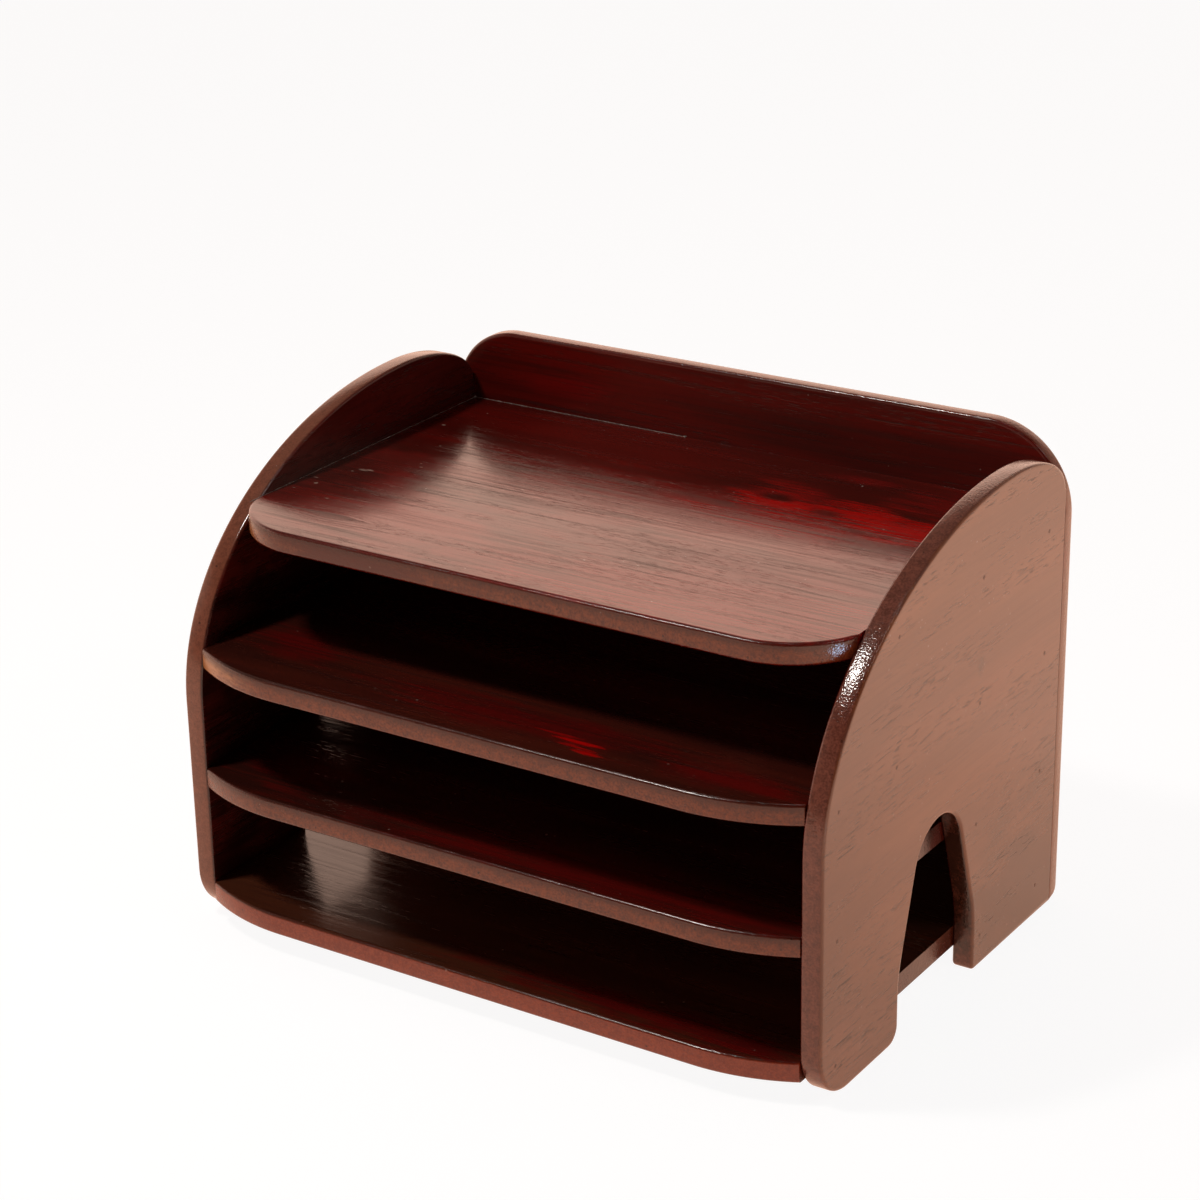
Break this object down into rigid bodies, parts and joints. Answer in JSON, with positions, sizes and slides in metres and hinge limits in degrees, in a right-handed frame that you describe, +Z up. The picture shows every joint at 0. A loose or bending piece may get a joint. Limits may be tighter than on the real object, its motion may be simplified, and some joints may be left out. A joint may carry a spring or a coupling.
{
  "type": "paper rack",
  "caption": "Open wooden paper rack: bow-fronted shelves between curved side panels with arched feet, closed by a round-cornered back panel.",
  "frame": {"origin": "on the ground, under the middle of the rack's whole width and depth", "axes": "+X to the rack's right seen from its open front, +Y to its back panel, +Z up"},
  "size_m": [0.33, 0.237, 0.23],
  "materials": {
    "lacquered_wood": "dark reddish brown stain under semi-gloss lacquer",
    "nail_steel": "bright drawn wire",
    "wood_filler": "stained filler under the same lacquer"
  },
  "bodies": {
    "root": {"side_panel_left": "lacquered_wood", "side_panel_right": "lacquered_wood", "back_panel": "lacquered_wood", "shelf_bottom": "lacquered_wood", "shelf_lower_middle": "lacquered_wood", "shelf_upper_middle": "lacquered_wood", "shelf_top": "lacquered_wood", "side_nails_left": "nail_steel", "side_nails_right": "nail_steel", "back_nails": "nail_steel", "side_nail_fillers_left": "wood_filler", "side_nail_fillers_right": "wood_filler", "back_nail_fillers": "wood_filler"}
  },
  "joints": []
}
